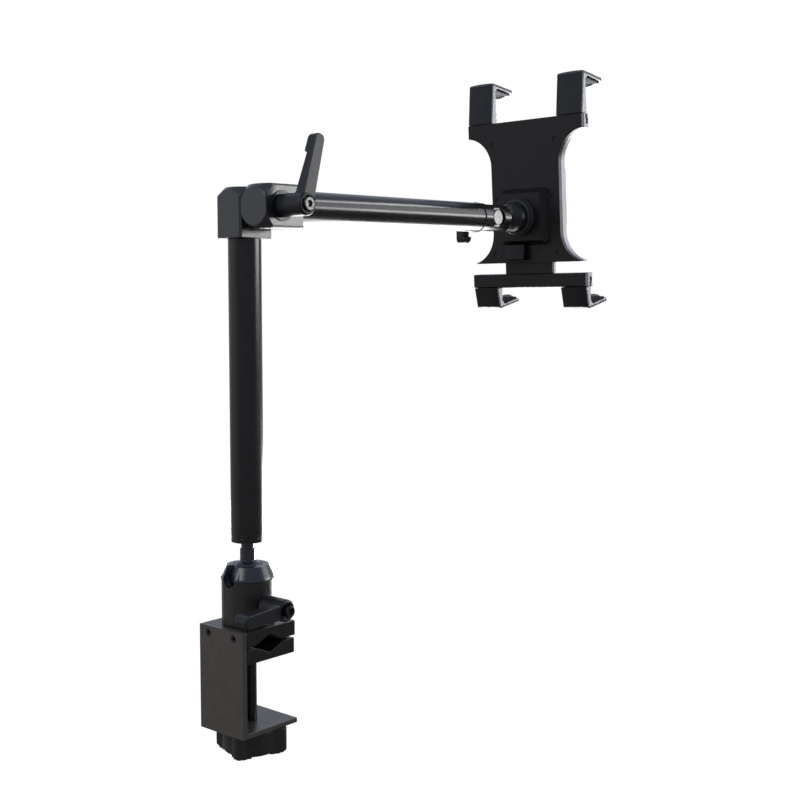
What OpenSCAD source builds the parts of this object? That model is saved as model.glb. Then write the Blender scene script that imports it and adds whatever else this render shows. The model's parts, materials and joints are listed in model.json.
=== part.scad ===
// Clamp tablet holder: a table clamp with V jaws, a ball head, a post, a side-by-side elbow,
// an arm and a cradle with four sliding hooks. Origin: middle of the closed V grip.
// +X runs from the clamp towards the cradle, +Z is up. Millimetres.

/* [Table clamp] */
// Width of the clamp, across the jaws
clamp_w = 53; // [44:0.5:70]
// Length of the fixed jaw, from the back plate to its free end
jaw_len = 54; // [48:0.5:75]
// Thickness of each jaw
jaw_t = 12.4; // [12.4:0.1:18]
// Gap between the flat lands of the closed jaws
jaw_gap = 2.2; // [2.2:0.1:6]
// Half width of the V groove at the lands
vee_half = 15.5; // [10:0.5:18]
// Depth of the V groove
vee_depth = 6.6; // [3:0.2:6.6]
// From the middle of the grip back to the back plate
grip_back = 25.5; // [22:0.5:27]
// Thickness of the back plate
back_t = 5; // [4:0.5:8]
// Thickness of the bottom plate
base_t = 4; // [3:0.5:8]
// Length of the bottom plate in front of the back plate
base_len = 56; // [48:0.5:75]
// Height from the middle of the grip down to the bottom plate
throat_drop = 71; // [60:1:110]

/* [Clamp screw and knob] */
// Diameter of the clamp screw
screw_d = 10; // [8:0.5:12]
// How far the clamp screw stands ahead of the middle of the grip
screw_x = 2; // [0:0.5:4]
// Radius of the knob over its lobes
knob_r = 31.5; // [28:0.5:36]
// Radius of the knob between its lobes
knob_body_r = 24; // [20:0.5:25.5]
// Height of the knob
knob_h = 21.5; // [16:0.5:30]
// Radius of one lobe
lobe_r = 5; // [3.5:0.25:6]

/* [Ball head] */
// Radius of the head's body
head_r = 22; // [20.5:0.25:26]
// Height of the head's body
head_h = 37.7; // [37:0.1:44]
// Radius of the collar at its foot
collar_r = 22.6; // [21:0.1:28]
// Radius of the collar at its top
collar_top_r = 17.6; // [15.5:0.1:20]
// Height of the collar
collar_h = 11.5; // [11:0.1:12.5]
// Radius of the ball
ball_r = 15; // [14:0.1:15.5]
// Height of the ball's centre over the top of the fixed jaw
ball_rise = 39; // [38.5:0.1:40]
// Radius of the opening that the stem leaves by
mouth_r = 12; // [11:0.1:12.5]
// Diameter of the stem
stem_d = 12.8; // [10:0.1:13.5]
// Length of the stem, from the ball's centre
stem_len = 23.5; // [21:0.5:34]

/* [Post and elbow] */
// Outer diameter of the post
post_d = 27.4; // [22:0.1:30]
// Wall of the post and of the arm
tube_wall = 2; // [1.2:0.1:3]
// Length of the post
post_len = 244; // [120:1:420]
// Diameter of the bar that both elbow knuckles are turned from
bar_d = 43.6; // [38:0.2:48]
// Distance from a knuckle's axis to its narrow flats
flat_y = 14.75; // [14.5:0.25:17]
// Distance from a knuckle's axis to its wide flats
flat_x = 17.6; // [16:0.1:20]
// Diameter of the flat face at a knuckle's turned end
nose_d = 31; // [26:0.5:36]
// Length of the cone at a knuckle's turned end
nose_len = 7; // [4:0.5:9]
// Height of the elbow's pivot over the top of the post
pivot_rise = 24.5; // [20:0.1:30]
// Height of the post's knuckle
knuckle_h = 41; // [38:0.5:50]
// Diameter of the elbow's axle
axle_d = 10; // [8:0.5:12]
// Thickness of the friction disc between the knuckles
disc_t = 0.75; // [0.5:0.05:2]

/* [Arm] */
// Outer diameter of the arm
arm_d = 28; // [24:0.1:29]
// From the elbow's pivot to the tilt pivot at the far end
arm_len = 291.5; // [180:0.5:450]
// Angle that the arm rises at, as photographed
arm_rise = 1.3; // [-5:0.1:10]
// From the tilt pivot back to the end of the arm's tube
fork_back = 21; // [20:0.5:30]
// From the tilt pivot forward to the end of the fork
fork_nose = 21.2; // [15:0.1:22]
// Thickness of the tilt tongue
tongue_t = 12; // [8:0.5:13]
// Half height of the tilt tongue, and the radius of its round end
tongue_r = 11.5; // [9:0.5:12]
// Diameter of the tilt bolt
bolt_d = 8; // [5:0.5:9]

/* [Clamping levers] */
// Radius of a large lever's hub
lever_hub_r = 9.25; // [8.5:0.25:12]
// Length of the elbow lever's hub
elbow_hub_h = 27.7; // [24:0.1:36]
// Reach of the elbow lever's handle, from its hub's axis
elbow_reach = 57.8; // [44:0.1:75]
// Length of the head lever's hub
head_hub_h = 25; // [22:0.1:34]
// Reach of the head lever's handle, from its hub's axis
head_reach = 45; // [38:0.5:60]
// Radius of the small lever's hub
small_hub_r = 7.5; // [6.5:0.25:9]
// Length of the small lever's hub
small_hub_h = 24; // [18:0.5:30]
// Reach of the small lever's handle
small_reach = 24; // [18:0.5:40]

/* [Cradle] */
// Angle that the cradle leans back at, as photographed
head_tilt = 4; // [-10:0.5:20]
// From the tilt pivot to the back of the cradle
cradle_u = 63.5; // [62:0.5:75]
// Half width of the cradle at its top rail
top_half = 69.5; // [60:0.5:90]
// Half width of the cradle at its foot
foot_half = 64.5; // [58:0.5:72]
// Half width of the cradle at its waist
waist_half = 41.5; // [36:0.5:44]
// Radius of the curves between the waist and the wide ends
flare_r = 31; // [24:0.5:32]
// Top of the cradle, above the swivel axis
cradle_top = 97; // [92:0.5:120]
// Foot of the cradle, below the swivel axis
cradle_foot = 46.6; // [44.5:0.1:60]
// Thickness of the black rear cover
cover_t = 5; // [4:0.25:7]
// Thickness of the silver front plate
plate_t = 8; // [7.5:0.25:11]
// Height of a hook rail
rail_h = 13.6; // [12.5:0.1:18]
// Half width of the slide
slide_half = 29; // [22:0.5:32]
// Gap between the cradle's foot and the lower bar, as photographed
bar_gap = 11.4; // [11:0.1:30]
// Height of the lower bar
bar_h = 14; // [13:0.5:20]
// How far the lower bar pulls out
bar_travel = 60; // [20:1:65]
// Side of the square rear block's face
block_side = 47.5; // [44:0.5:54]
// Depth of the rear block
block_t = 9.5; // [9:0.25:12]
// Radius of the swivel hub
hub_r = 14.8; // [13:0.1:16]
// Outer radius of the swivel ring
ring_r = 18.7; // [18:0.1:21]

/* [Hooks] */
// Width of a hook
hook_w = 29.5; // [20:0.5:36]
// Distance of each hook's middle from the end of its rail
hook_inset = 15; // [15:0.5:19]
// Height of an upper hook over its rail
upper_rise = 41.3; // [25:0.1:60]
// Height of a lower hook over its rail
lower_rise = 22; // [18:0.1:40]
// Reach of a hook in front of the cradle's back
hook_reach = 39.5; // [30:0.5:50]
// Depth of a hook's round lip
lip_drop = 7.5; // [6:0.5:14]

/* [Fits] */
// Running clearance of a pin or shaft in its bore
run_fit = 0.05; // [0.02:0.01:0.1]
// Sliding clearance beside a guided piece
slide_fit = 0.2; // [0.1:0.05:0.4]
// Gap left between pieces that turn past each other
turn_gap = 0.3; // [0.2:0.05:0.6]

/* [Hidden] */
$fn = 96;
// A small overshoot, so that cuts run clean through
cut = 0.5;
// Clamp levels
jaw_top = jaw_gap / 2 + jaw_t;
frame_foot = -throat_drop - base_t;
jaw_bolt_y = clamp_w / 2 - 11;
jaw_bolt_z = jaw_top - 6;
jaw_bolt_d = 4;
jaw_bolt_len = 16;
pocket_roof = 1.4;
pocket_deep = jaw_t - vee_depth - pocket_roof;
pocket_z = -jaw_gap / 2 - jaw_t + pocket_deep;
groove_z = pocket_z - 2.4;
groove_w = 2.4;
groove_deep = 1.2;
knob_top = frame_foot - turn_gap;
lobe_angle = 26;
lobe_round = 2.5;
blend_r = 7;
cap_r = 9;
cap_t = 1.6;
// Head bolt, up through the fixed jaw
head_bolt_d = 8;
head_bolt_head_d = 13;
head_bolt_head_t = 3;
head_bolt_seat = jaw_top - 3.5;
head_bolt_deep = 12;
// Ball head levels
head_top = jaw_top + head_h;
collar_top = head_top + collar_h;
ball_z = jaw_top + ball_rise;
skirt_r = 18;
skirt_h = 7;
seat_r = 14.8;
seat_bottom = ball_z - ball_r - 1;
seat_top = ball_z - 9;
seat_foot_d = 8;
notch_w = stem_d + 0.8;
stud_d = 8;
stud_z = seat_bottom - 2 - stud_d / 2 - turn_gap;
stud_end_y = 3;
head_screw_r = 4.8;
elbow_screw_r = 5.2;
tilt_screw_r = 3.6;
neck_d = 10.8;
neck_top = ball_z + stem_len + 6;
journal_d = 10;
foot_d = post_d - 0.4;
foot_h = 6.5;
foot_groove = 0.6;
foot_spigot = 16;
nut_af = 16;
nut_h = 6;
// Post and elbow levels
post_z = neck_top + foot_h;
post_bore = post_d - 2 * tube_wall;
post_top = post_z + post_len;
spigot_len = 22;
spigot_play = 0.05;
pivot_z = post_top + pivot_rise;
arm_y = -2 * flat_y - disc_t;
axle_head_d = 18;
axle_head_t = 5;
washer_d = 24.6;
washer_t = 1;
hub_foot_y = arm_y - flat_y - washer_t - turn_gap;
knuckle_tail = 23.3;
// Arm, in its own frame: X along the arm from the elbow's pivot
arm_bore = arm_d - 2 * tube_wall;
ring_t = 1.2;
tube_end = arm_len - fork_back;
slot_w = tongue_t + 2 * slide_fit;
slot_back = arm_len - tongue_r - 1;
bolt_head_d = 15.6;
bolt_head_t = 1.9;
recess_d = 19.4;
recess_floor = arm_d / 2 - 3.5;
spot_face = arm_d / 2 - 1.8;
tilt_bolt_len = recess_floor + spot_face + 0.2 + small_hub_h - 6;
tilt_x = arm_len * cos(arm_rise);
tilt_z = pivot_z + arm_len * sin(arm_rise);
// Cradle, in its own frame: X along the swivel axis from the tilt pivot
block_u = cradle_u - block_t;
ring_u = block_u - 9.3;
neck_u = ring_u - 1.4;
hub_front = 26.6;
dome_r = 15.5;
flange_r = 17;
flange_t = 4;
flange_u = block_u + 1.5;
cover_front = cradle_u + cover_t;
plate_front = cover_front + plate_t;
block_base = 57.5;
block_round = 7;
block_slope = atan((block_base - block_side) / 2 / block_t);
tab_y = 11;
tab_w = 24;
tab_h = 16;
tab_stem = 10;
slide_t = 4;
slide_cover_t = 2.5;
slide_inside = bar_travel + 28;
slide_u = cover_front + slide_fit;
slide_top = slide_inside - cradle_foot;
bar_top = -cradle_foot - bar_gap;
bar_foot = bar_top - bar_h;
tee_mid = plate_front - plate_t / 2;
tee_throat = 3;
tee_wide = 5.4;
tee_throat_h = 4.5;
tee_h = 9.6;
pad_t = 1.5;
pad_w = 28;
pad_y = top_half - 23.5;
strip_w = 12;
strip_y = 30;
strip_foot = -30;
strip_h = 84;
screw_rows = [74.5, 18.5, -37.5];
screw_half = [38, 34.5, 38.5];
screw_shank_d = 3.2;
screw_head_d = 5;
screw_bite = 3.5;
hook_y = top_half - hook_inset;
hook_wall = 3;
hook_cover_t = 2;
hook_crown = 1;
crown_r = pow(hook_w / 2, 2) / 2 / hook_crown + hook_crown / 2;
hook_lean = 4.3;
hook_arm_t = 2.6;
hook_arm_fall = 5.5;
hook_pad_t = 2;
lip_t = 3;
rail_gap = 0.3;

// Places for the two tilted groups
module on_arm() {
    translate([0, arm_y, pivot_z]) rotate([0, -arm_rise, 0]) children();
}

module on_cradle() {
    translate([tilt_x, arm_y, tilt_z]) rotate([0, -head_tilt, 0]) children();
}

module along_y(y, z = 0) {
    translate([0, y, z]) rotate([90, 0, 0]) children();
}

module along_x(x) {
    translate([x, 0, 0]) rotate([0, 90, 0]) children();
}

// A slab with round vertical corners, standing on z = 0
module round_slab(a, b, h, r) {
    translate([-a / 2 + r, -b / 2, 0]) cube([a - 2 * r, b, h]);
    translate([-a / 2, -b / 2 + r, 0]) cube([a, b - 2 * r, h]);
    for (i = [-1, 1], j = [-1, 1]) {
        translate([i * (a / 2 - r), j * (b / 2 - r), 0]) cylinder(r = r, h = h);
    }
}

// Table clamp
module clamp_frame() {
    color("#38332f") difference() {
        union() {
            translate([-grip_back - back_t, -clamp_w / 2, frame_foot])
                cube([back_t, clamp_w, jaw_top - frame_foot]);
            translate([-grip_back - back_t, -clamp_w / 2, frame_foot])
                cube([back_t + base_len, clamp_w, base_t]);
            // inside fillet where the plate is bent
            difference() {
                translate([-grip_back - cut, -clamp_w / 2, -throat_drop - cut])
                    cube([3 + cut, clamp_w, 3 + cut]);
                translate([-grip_back + 3, 0, -throat_drop + 3])
                    rotate([90, 0, 0]) cylinder(r = 3, h = clamp_w + 2, center = true);
            }
        }
        for (s = [-1, 1]) {
            translate([-grip_back - back_t - cut, s * jaw_bolt_y, jaw_bolt_z]) rotate([0, 90, 0]) {
                cylinder(d = jaw_bolt_d + 0.1, h = back_t + 2 * cut);
                cylinder(d = jaw_bolt_d + 2.6, h = 3 + cut);
            }
        }
        translate([screw_x, 0, frame_foot - cut]) cylinder(d = screw_d + 2 * run_fit, h = base_t + 2 * cut);
    }
}

module vee_cut(level, way) {
    translate([0, clamp_w / 2 + cut, level]) rotate([90, 0, 0]) linear_extrude(clamp_w + 2 * cut)
        polygon([[-vee_half, 0], [0, way * vee_depth], [vee_half, 0], [vee_half, -way], [-vee_half, -way]]);
}

module fixed_jaw() {
    color("#2b2c2f") difference() {
        translate([-grip_back, -clamp_w / 2, jaw_gap / 2]) cube([jaw_len, clamp_w, jaw_t]);
        vee_cut(jaw_gap / 2, 1);
        for (s = [-1, 1]) {
            translate([-grip_back - cut, s * jaw_bolt_y, jaw_bolt_z]) rotate([0, 90, 0])
                cylinder(d = jaw_bolt_d, h = jaw_bolt_len - 3 + cut);
        }
        cylinder(d = head_bolt_head_d + 1, h = head_bolt_seat);
        cylinder(d = head_bolt_d + 0.4, h = jaw_top + cut);
    }
}

module jaw_screws() {
    color("#1d1e20") for (s = [-1, 1]) {
        translate([-grip_back - back_t + 0.4, s * jaw_bolt_y, jaw_bolt_z]) rotate([0, 90, 0])
            difference() {
                union() {
                    cylinder(d = jaw_bolt_d + 2.3, h = 2.6);
                    cylinder(d = jaw_bolt_d, h = jaw_bolt_len);
                }
                translate([0, 0, -cut]) cylinder(d = 3.5, h = 1.6 + cut, $fn = 6);
            }
    }
}

module moving_jaw() {
    color("#222326") difference() {
        translate([-grip_back + slide_fit, -clamp_w / 2, -jaw_gap / 2 - jaw_t])
            cube([jaw_len - slide_fit - 1, clamp_w, jaw_t]);
        vee_cut(-jaw_gap / 2, -1);
        translate([screw_x, 0, -jaw_gap / 2 - jaw_t - cut])
            cylinder(d = screw_d + 2 * run_fit, h = pocket_deep + cut);
        translate([screw_x + screw_d / 2, clamp_w / 2 + cut, groove_z]) rotate([90, 0, 0])
            cylinder(d = groove_w - 0.4, h = clamp_w / 2 + 12 + cut);
    }
}

// Cross pin that rides in the screw's groove and keeps the screw in the jaw
module jaw_pin() {
    color("#9a9ca0") translate([screw_x + screw_d / 2, clamp_w / 2 - 0.5, groove_z])
        rotate([90, 0, 0]) cylinder(d = groove_w - 0.4, h = clamp_w / 2 + 11.5);
}

module clamp_screw() {
    color("#1c1d1f") translate([screw_x, 0, 0]) rotate_extrude() polygon([
        [0, knob_top - knob_h + 5], [screw_d / 2, knob_top - knob_h + 5],
        [screw_d / 2, groove_z - groove_w / 2], [screw_d / 2 - groove_deep, groove_z - groove_w / 2],
        [screw_d / 2 - groove_deep, groove_z + groove_w / 2], [screw_d / 2, groove_z + groove_w / 2],
        [screw_d / 2, pocket_z - 1], [screw_d / 2 - 1, pocket_z - 0.1], [0, pocket_z - 0.1]]);
}

// One lobe with the two hollow curves that blend it into the knob's body
module knob_lobe(h) {
    reach = knob_r - lobe_r;
    blend = blend_r + knob_body_r;
    turn = acos((blend * blend + reach * reach - pow(lobe_r + blend_r, 2)) / (2 * blend * reach));
    difference() {
        linear_extrude(h) polygon([[0, 0], blend * [cos(turn), -sin(turn)], [reach, 0],
            blend * [cos(turn), sin(turn)]]);
        for (s = [-1, 1]) {
            translate([blend * cos(turn), s * blend * sin(turn), -cut]) cylinder(r = blend_r, h = h + 2 * cut);
        }
    }
    translate([reach, 0, 0]) cylinder(r = lobe_r, h = h - lobe_round);
    translate([reach, 0, h - lobe_round]) cylinder(r1 = lobe_r, r2 = lobe_r - lobe_round, h = lobe_round);
}

module clamp_knob() {
    color("#191a1b") translate([screw_x, 0, knob_top]) mirror([0, 0, 1]) difference() {
        union() {
            rotate_extrude() polygon([
                [0, 0], [knob_body_r - 1, 0], [knob_body_r, 1], [knob_body_r, knob_h - 4],
                [knob_body_r - 1.2, knob_h - 1.4], [knob_body_r - 4, knob_h], [0, knob_h]]);
            intersection() {
                for (i = [0 : 3]) {
                    rotate([0, 0, lobe_angle + 90 * i]) knob_lobe(knob_h);
                }
                union() {
                    cylinder(r = knob_r + 1, h = knob_h - lobe_round);
                    translate([0, 0, knob_h - lobe_round])
                        cylinder(r1 = knob_r + 0.5, r2 = knob_r - lobe_round, h = lobe_round);
                }
            }
        }
        translate([0, 0, -cut]) cylinder(d = screw_d, h = knob_h - 5 + cut);
        translate([0, 0, knob_h - cap_t]) cylinder(r = cap_r, h = cap_t + cut);
    }
}

module knob_cap() {
    color("#141516") translate([screw_x, 0, knob_top - knob_h])
        rotate_extrude() polygon([[0, 0], [cap_r - 1, 0], [cap_r - 0.2, 0.6], [cap_r - 0.2, cap_t], [0, cap_t]]);
}

// Ball head
module head_bolt() {
    color("#2a2b2d") difference() {
        union() {
            translate([0, 0, head_bolt_seat - head_bolt_head_t]) cylinder(d = head_bolt_head_d, h = head_bolt_head_t);
            translate([0, 0, head_bolt_seat]) cylinder(d = head_bolt_d, h = jaw_top - head_bolt_seat + head_bolt_deep);
        }
        translate([0, 0, head_bolt_seat - head_bolt_head_t - cut]) cylinder(d = 5.8, h = 2 + cut, $fn = 6);
    }
}

module stem_notch() {
    translate([0, 0, ball_z]) rotate([0, -90, 0]) cylinder(d = notch_w, h = collar_r + 5);
    translate([-collar_r - 5, -notch_w / 2, ball_z]) cube([collar_r + 5, notch_w, 40]);
}

module head_body() {
    color("#2f2d2c") difference() {
        translate([0, 0, jaw_top]) cylinder(r = head_r, h = head_h);
        translate([0, 0, head_top - skirt_h]) cylinder(r = skirt_r, h = skirt_h + cut);
        translate([0, 0, seat_bottom]) cylinder(r = seat_r + 0.2, h = head_top);
        translate([0, 0, seat_bottom - 3]) cylinder(d = seat_foot_d + 0.2, h = 4);
        translate([0, 0, jaw_top - cut]) cylinder(d = head_bolt_d, h = head_bolt_deep + cut);
        along_y(stud_end_y + 4, stud_z) cylinder(d = stud_d + 2 * run_fit, h = head_r + 20);
        along_y(-head_r + 1.6, stud_z) cylinder(d = 14, h = 10);
        stem_notch();
    }
}

module head_collar() {
    color("#343a44") difference() {
        union() {
            translate([0, 0, head_top]) cylinder(r = collar_r, h = 0.8);
            translate([0, 0, head_top + 0.8]) cylinder(r1 = collar_r, r2 = collar_top_r, h = collar_h - 0.8);
            translate([0, 0, head_top - skirt_h]) cylinder(r = skirt_r, h = skirt_h + cut);
        }
        translate([0, 0, ball_z]) sphere(r = ball_r + run_fit);
        translate([0, 0, head_top - skirt_h - cut]) cylinder(r = ball_r + run_fit, h = ball_z - head_top + skirt_h + cut);
        translate([0, 0, ball_z]) cylinder(r = mouth_r, h = 20);
        translate([0, 0, collar_top - 1]) cylinder(r1 = mouth_r, r2 = mouth_r + 1.6, h = 1.6);
        stem_notch();
    }
}

module ball_seat() {
    color("#d8d5cc") difference() {
        union() {
            translate([0, 0, seat_bottom]) cylinder(r = seat_r, h = seat_top - seat_bottom);
            translate([0, 0, seat_bottom - 2]) cylinder(d = seat_foot_d, h = 3);
        }
        translate([0, 0, ball_z]) sphere(r = ball_r + run_fit);
    }
}

// The ball, its stem and its journal are turned in one piece
module ball_stem() {
    color("#26282c") union() {
        translate([0, 0, ball_z]) sphere(r = ball_r);
        translate([0, 0, ball_z]) cylinder(d = stem_d, h = stem_len);
        translate([0, 0, ball_z + stem_len]) cylinder(d = neck_d, h = neck_top - ball_z - stem_len);
        translate([0, 0, neck_top - 1]) cylinder(d = journal_d, h = foot_h + foot_spigot + nut_h + 3);
    }
}

module stem_nut() {
    color("#8b8d90") translate([0, 0, neck_top + foot_h + foot_spigot + turn_gap]) difference() {
        cylinder(d = nut_af / cos(30), h = nut_h, $fn = 6);
        translate([0, 0, -cut]) cylinder(d = journal_d, h = nut_h + 2 * cut);
    }
}

// Clamping levers, in a frame whose Z runs out along the hub and whose X runs along the handle
module lever_body(hub_r, hub_h, reach, tip_r, depth, tip_depth, recess_r) {
    difference() {
        union() {
            cylinder(r = hub_r, h = hub_h - 1.2);
            translate([0, 0, hub_h - 1.2]) cylinder(r1 = hub_r, r2 = hub_r - 1.2, h = 1.2);
            intersection() {
                union() {
                    linear_extrude(hub_h) polygon([[0, -0.69 * hub_r], [reach - tip_r, -tip_r],
                        [reach - tip_r, tip_r], [0, 0.69 * hub_r]]);
                    translate([reach - tip_r, 0, 0]) cylinder(r = tip_r, h = hub_h);
                }
                lever_side(hub_h, reach, depth, tip_depth);
            }
        }
        translate([0, 0, hub_h - 2.5]) cylinder(r = recess_r, h = 2.5 + cut);
    }
}

// Side view of a handle: flat outside, thinning inside up to the finger step near its tip
module lever_side(hub_h, reach, depth, tip_depth) {
    translate([0, hub_h, 0]) rotate([90, 0, 0]) linear_extrude(2 * hub_h) polygon([
        [0, hub_h - 0.2], [reach - 1, hub_h - 0.2], [reach, hub_h - 1.2],
        [reach, hub_h - 0.82 * tip_depth], [reach - 1.6, hub_h - 0.93 * tip_depth],
        [0.73 * reach, hub_h - tip_depth], [0.705 * reach, hub_h - 0.71 * tip_depth],
        [0, hub_h - depth]]);
}

module lever_screw_body(screw_r, hub_h, proud, hex_af) {
    difference() {
        union() {
            translate([0, 0, hub_h - 2.4]) cylinder(r = screw_r, h = 2 + proud);
            translate([0, 0, hub_h - 0.4 + proud]) cylinder(r1 = screw_r, r2 = screw_r - 0.4, h = 0.4);
            translate([0, 0, hub_h - 10]) cylinder(d = screw_r, h = 7.6 + cut);
        }
        translate([0, 0, hub_h + proud - 2]) cylinder(d = hex_af, h = 2 + cut, $fn = 6);
    }
}

module at_head_lever() {
    translate([0, -head_r - turn_gap, stud_z]) rotate([90, 0, 0]) rotate([0, 0, 183]) children();
}

module head_lever_stud() {
    color("#77797c") along_y(0, stud_z) {
        difference() {
            cylinder(d = stud_d, h = head_r + head_hub_h - 6);
            translate([0, 0, head_r + head_hub_h - 13]) cylinder(d = head_screw_r, h = 8);
        }
        translate([0, 0, -stud_end_y]) cylinder(d1 = stud_d - 3, d2 = stud_d, h = stud_end_y);
    }
}

module head_lever() {
    color("#2a2b2e") at_head_lever() difference() {
        lever_body(lever_hub_r, head_hub_h, head_reach, 5.3, 10.4, 15.4, 6.2);
        translate([0, 0, -cut]) cylinder(d = stud_d + 2 * run_fit, h = head_hub_h - 6 + cut);
        translate([0, 0, head_hub_h - 7]) cylinder(d = head_screw_r + 0.4, h = 7);
    }
}

module head_lever_screw() {
    color("#101112") at_head_lever() lever_screw_body(head_screw_r, head_hub_h, 4.3, 5.8);
}

// Post
module post_foot() {
    color("#232427") difference() {
        union() {
            translate([0, 0, neck_top]) cylinder(d = foot_d, h = foot_h);
            translate([0, 0, post_z - cut]) cylinder(d = post_bore - 2 * spigot_play, h = foot_spigot + cut);
        }
        translate([0, 0, neck_top - cut]) cylinder(d = journal_d + 2 * run_fit, h = foot_h + foot_spigot + 2 * cut);
        translate([0, 0, neck_top + foot_h * 0.55]) difference() {
            cylinder(d = foot_d + 2, h = 0.9);
            cylinder(d = foot_d - 2 * foot_groove, h = 0.9);
        }
    }
}

module post_tube() {
    color("#2b2d33") translate([0, 0, post_z]) difference() {
        cylinder(d = post_d, h = post_len);
        translate([0, 0, -cut]) cylinder(d = post_bore, h = post_len + 2 * cut);
    }
}

// Round bar with four flats and a turned cone at its far end, standing on z = 0
module knuckle_bar(h) {
    intersection() {
        union() {
            cylinder(d = bar_d, h = h - nose_len);
            translate([0, 0, h - nose_len]) cylinder(d1 = bar_d, d2 = nose_d, h = nose_len);
        }
        translate([-flat_x, -flat_y, 0]) cube([2 * flat_x, 2 * flat_y, h]);
    }
}

module post_knuckle() {
    color("#3a3c40") difference() {
        union() {
            translate([0, 0, post_top]) knuckle_bar(knuckle_h);
            translate([0, 0, post_top - spigot_len])
                cylinder(d = post_bore - 2 * spigot_play, h = spigot_len + cut);
        }
        along_y(flat_y + cut, pivot_z) cylinder(d = axle_d, h = 2 * flat_y + 2 * cut);
    }
}

module elbow_axle() {
    color("#8f9195") along_y(0, pivot_z) difference() {
        union() {
            translate([0, 0, -flat_y]) cylinder(d = axle_d, h = flat_y - hub_foot_y + elbow_hub_h - 6);
            translate([0, 0, -flat_y - axle_head_t]) cylinder(d = axle_head_d, h = axle_head_t);
        }
        translate([0, 0, -flat_y - axle_head_t - cut]) cylinder(d = 9.2, h = 2.5 + cut, $fn = 6);
        translate([0, 0, elbow_hub_h - hub_foot_y - 13])
            cylinder(d = elbow_screw_r + 2 * run_fit, h = 8);
    }
}

module friction_disc() {
    color("#c9c6bb") along_y(-flat_y, pivot_z) difference() {
        cylinder(d = washer_d, h = disc_t);
        translate([0, 0, -cut]) cylinder(d = axle_d + 2 * run_fit, h = disc_t + 2 * cut);
    }
}

module arm_knuckle() {
    color("#3a3c40") on_arm() difference() {
        union() {
            translate([knuckle_tail, 0, 0]) rotate([0, -90, 0]) knuckle_bar(knuckle_tail + flat_x);
            along_x(knuckle_tail - cut) cylinder(d = arm_bore - 2 * spigot_play, h = spigot_len + cut);
        }
        along_y(flat_y + cut) cylinder(d = axle_d + 2 * run_fit, h = 2 * flat_y + 2 * cut);
    }
}

module elbow_washer() {
    color("#b9bbbe") along_y(arm_y - flat_y, pivot_z) difference() {
        cylinder(d = washer_d, h = washer_t);
        translate([0, 0, -cut]) cylinder(d = axle_d + 2 * run_fit, h = washer_t + 2 * cut);
    }
}

module at_elbow_lever() {
    translate([0, hub_foot_y, pivot_z]) rotate([90, 0, 0]) rotate([0, 0, 74.7]) children();
}

module elbow_lever() {
    color("#26272b") at_elbow_lever() difference() {
        lever_body(lever_hub_r, elbow_hub_h, elbow_reach, 5, 11, 10.2, 6.2);
        translate([0, 0, -cut]) cylinder(d = axle_d + 2 * run_fit, h = elbow_hub_h - 6 + cut);
        translate([0, 0, elbow_hub_h - 7]) cylinder(d = elbow_screw_r + 0.4, h = 7);
    }
}

module elbow_lever_screw() {
    color("#d6d7d9") at_elbow_lever() lever_screw_body(elbow_screw_r, elbow_hub_h, 2.1, 5.8);
}

// Arm
module arm_tube() {
    color("#2b2d33") on_arm() along_x(knuckle_tail) difference() {
        cylinder(d = arm_d, h = tube_end - ring_t - knuckle_tail);
        translate([0, 0, -cut]) cylinder(d = arm_bore, h = tube_end - knuckle_tail + 2 * cut);
    }
}

module arm_ring() {
    color("#0f0f10") on_arm() along_x(tube_end - ring_t) difference() {
        cylinder(d = arm_d + 0.4, h = ring_t);
        translate([0, 0, -cut]) cylinder(d = arm_bore, h = ring_t + 2 * cut);
    }
}

module arm_fork() {
    color("#232428") on_arm() difference() {
        union() {
            along_x(tube_end) cylinder(d = arm_d, h = fork_back + fork_nose - 1);
            along_x(arm_len + fork_nose - 1) cylinder(d1 = arm_d, d2 = arm_d - 2, h = 1);
            along_x(tube_end - spigot_len) cylinder(d = arm_bore - 2 * spigot_play, h = spigot_len + cut);
        }
        translate([slot_back, -slot_w / 2, -arm_d]) cube([tongue_r + 1 + fork_nose + cut, slot_w, 2 * arm_d]);
        translate([arm_len, 0, 0]) {
            along_y(arm_d) cylinder(d = bolt_d, h = 2 * arm_d);
            along_y(-recess_floor) cylinder(d = recess_d, h = 10);
            along_y(spot_face + 10) cylinder(d = 2 * small_hub_r + 2, h = 10);
        }
    }
}

module tilt_bolt() {
    color("#dcdde0") on_arm() translate([arm_len, -recess_floor, 0]) rotate([90, 0, 0]) difference() {
        union() {
            cylinder(d = bolt_head_d, h = bolt_head_t - 0.8);
            translate([0, 0, bolt_head_t - 0.8]) cylinder(d1 = bolt_head_d, d2 = bolt_head_d - 1.6, h = 0.8);
            translate([0, 0, -tilt_bolt_len]) cylinder(d = bolt_d, h = tilt_bolt_len + cut);
        }
        translate([0, 0, -tilt_bolt_len - cut]) cylinder(d = tilt_screw_r + 2 * run_fit, h = 7 + cut);
    }
}

module at_tilt_lever() {
    on_arm() translate([arm_len, spot_face + 0.2, 0]) rotate([-90, 0, 0]) rotate([0, 0, 90]) children();
}

module tilt_lever() {
    color("#1f1d1b") at_tilt_lever() difference() {
        lever_body(small_hub_r, small_hub_h, small_reach, 5.2, 10.4, 11.4, 4.4);
        translate([0, 0, -cut]) cylinder(d = bolt_d + 2 * run_fit, h = small_hub_h - 6 + cut);
        translate([0, 0, small_hub_h - 7]) cylinder(d = tilt_screw_r + 0.4, h = 7);
    }
}

module tilt_lever_screw() {
    color("#55575a") at_tilt_lever() lever_screw_body(tilt_screw_r, small_hub_h, 0.6, 4.2);
}

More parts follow.
